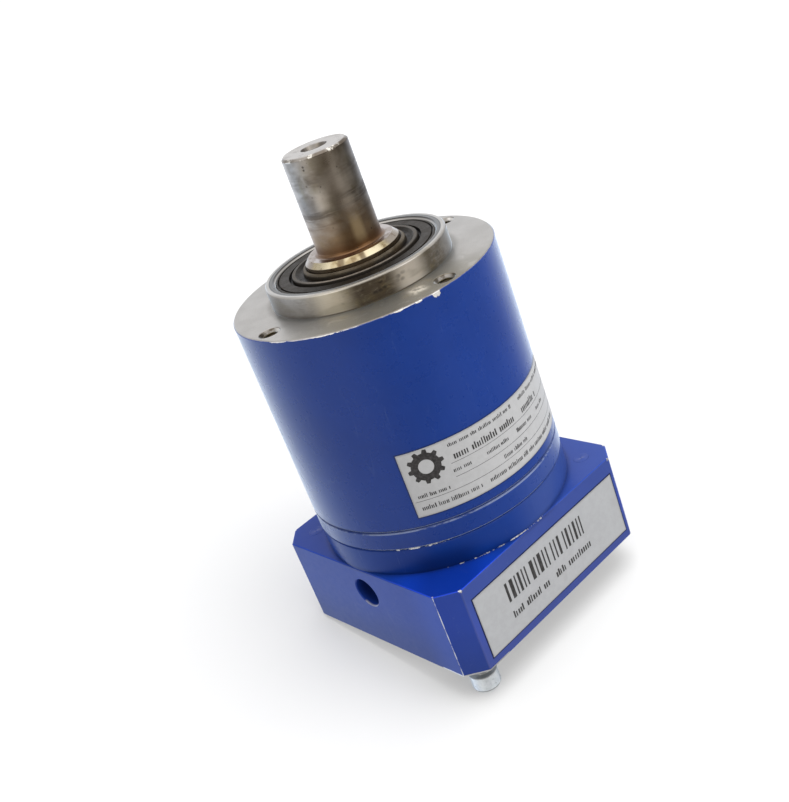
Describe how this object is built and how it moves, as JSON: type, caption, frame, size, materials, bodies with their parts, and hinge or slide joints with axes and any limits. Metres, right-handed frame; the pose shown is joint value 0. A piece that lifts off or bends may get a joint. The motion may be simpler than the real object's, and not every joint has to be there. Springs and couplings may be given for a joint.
{
  "type": "planetary gearbox",
  "caption": "Round planetary gearhead with a smooth output shaft and a square motor adapter; sun, planets and ring gear turn together inside.",
  "frame": {"origin": "centre of the output mounting face, on the shaft axis", "axes": "+Z along the output shaft, pointing away from the housing; X and Y square to the sides of the motor adapter block, with the key access hole in the -Y side and the block's label on the +X side"},
  "size_m": [0.0902, 0.09, 0.1774],
  "materials": {
    "blue_paint": "glossy ultramarine paint, chipped at the edges, over steel; the output face and collar are bare turned steel",
    "turned_steel": "turned steel with tool marks and light staining",
    "gear_steel": "ground case-hardened steel",
    "bearing_steel": "polished bearing steel",
    "cage_steel": "pressed brass",
    "spring_steel": "phosphated spring steel",
    "seal_rubber": "nitrile rubber, satin, dusty on the raised rings",
    "black_screw": "blackened alloy steel",
    "zinc_screw": "bright zinc plated steel",
    "label_film": "silver-grey printed film, matt"
  },
  "bodies": {
    "casing": {"housing": "blue_paint", "intermediate_ring": "blue_paint", "adapter_plate": "blue_paint", "output_seal": "seal_rubber", "output_seal_case": "spring_steel", "output_seal_spring": "spring_steel", "bearing_retaining_ring": "spring_steel", "front_bearing_outer_race": "bearing_steel", "rear_bearing_outer_race": "bearing_steel", "input_bearing_outer_race": "bearing_steel", "input_bearing_retaining_ring": "spring_steel", "input_seal": "seal_rubber", "input_seal_spring": "spring_steel", "housing_o_ring": "seal_rubber", "adapter_o_ring": "seal_rubber", "ring_screws": "black_screw", "adapter_screws": "black_screw", "motor_screw": "zinc_screw", "body_label": "label_film", "adapter_label": "label_film"},
    "output_carrier": {"output_shaft": "turned_steel", "front_bearing_inner_race": "bearing_steel", "rear_bearing_inner_race": "bearing_steel", "bearing_spacer": "turned_steel", "shaft_retaining_ring": "spring_steel", "planet_pins": "gear_steel", "planet_washers_front": "gear_steel", "planet_washers_rear": "gear_steel", "pin_retaining_rings": "spring_steel"},
    "input_rotor": {"input_shaft": "turned_steel", "input_bearing_inner_race": "bearing_steel", "input_shaft_retaining_ring": "spring_steel", "clamp_ring": "turned_steel", "clamp_screw": "black_screw"},
    "front_ball_set": {"front_bearing_balls": "bearing_steel", "front_bearing_cage": "cage_steel"},
    "rear_ball_set": {"rear_bearing_balls": "bearing_steel", "rear_bearing_cage": "cage_steel"},
    "input_ball_set": {"input_bearing_balls": "bearing_steel", "input_bearing_cage": "cage_steel"},
    "planet_1": {"planet_gear_1": "gear_steel"},
    "needle_set_1": {"needle_rollers_1": "bearing_steel", "needle_cage_1": "cage_steel"},
    "planet_2": {"planet_gear_2": "gear_steel"},
    "needle_set_2": {"needle_rollers_2": "bearing_steel", "needle_cage_2": "cage_steel"},
    "planet_3": {"planet_gear_3": "gear_steel"},
    "needle_set_3": {"needle_rollers_3": "bearing_steel", "needle_cage_3": "cage_steel"}
  },
  "joints": [
    {"name": "output_spin", "type": "hinge", "parent": "casing", "child": "output_carrier", "pos_m": [0, 0, 0.02], "axis": [0, 0, 1], "continuous": true},
    {"name": "input_spin", "type": "hinge", "parent": "casing", "child": "input_rotor", "pos_m": [0, 0, -0.09], "axis": [0, 0, 1], "continuous": true},
    {"name": "front_bearing_spin", "type": "hinge", "parent": "casing", "child": "front_ball_set", "pos_m": [0, 0, -0.0074], "axis": [0, 0, 1], "continuous": true},
    {"name": "rear_bearing_spin", "type": "hinge", "parent": "casing", "child": "rear_ball_set", "pos_m": [0, 0, -0.031], "axis": [0, 0, 1], "continuous": true},
    {"name": "input_bearing_spin", "type": "hinge", "parent": "casing", "child": "input_ball_set", "pos_m": [0, 0, -0.0756], "axis": [0, 0, 1], "continuous": true},
    {"name": "planet_1_spin", "type": "hinge", "parent": "output_carrier", "child": "planet_1", "pos_m": [0.0225, 0, -0.0562], "axis": [0, 0, 1], "continuous": true},
    {"name": "needle_set_1_spin", "type": "hinge", "parent": "output_carrier", "child": "needle_set_1", "pos_m": [0.0225, 0, -0.0562], "axis": [0, 0, 1], "continuous": true},
    {"name": "planet_2_spin", "type": "hinge", "parent": "output_carrier", "child": "planet_2", "pos_m": [-0.01125, 0.01949, -0.0562], "axis": [0, 0, 1], "continuous": true},
    {"name": "needle_set_2_spin", "type": "hinge", "parent": "output_carrier", "child": "needle_set_2", "pos_m": [-0.01125, 0.01949, -0.0562], "axis": [0, 0, 1], "continuous": true},
    {"name": "planet_3_spin", "type": "hinge", "parent": "output_carrier", "child": "planet_3", "pos_m": [-0.01125, -0.01949, -0.0562], "axis": [0, 0, 1], "continuous": true},
    {"name": "needle_set_3_spin", "type": "hinge", "parent": "output_carrier", "child": "needle_set_3", "pos_m": [-0.01125, -0.01949, -0.0562], "axis": [0, 0, 1], "continuous": true}
  ],
  "couplings": [
    {"joint": "input_spin", "follows": "output_spin", "ratio": 5},
    {"joint": "front_bearing_spin", "follows": "output_spin", "ratio": 0.43333},
    {"joint": "rear_bearing_spin", "follows": "output_spin", "ratio": 0.41753},
    {"joint": "input_bearing_spin", "follows": "output_spin", "ratio": 2.0139},
    {"joint": "planet_1_spin", "follows": "output_spin", "ratio": -2.6667},
    {"joint": "needle_set_1_spin", "follows": "output_spin", "ratio": -1.5484},
    {"joint": "planet_2_spin", "follows": "output_spin", "ratio": -2.6667},
    {"joint": "needle_set_2_spin", "follows": "output_spin", "ratio": -1.5484},
    {"joint": "planet_3_spin", "follows": "output_spin", "ratio": -2.6667},
    {"joint": "needle_set_3_spin", "follows": "output_spin", "ratio": -1.5484}
  ]
}
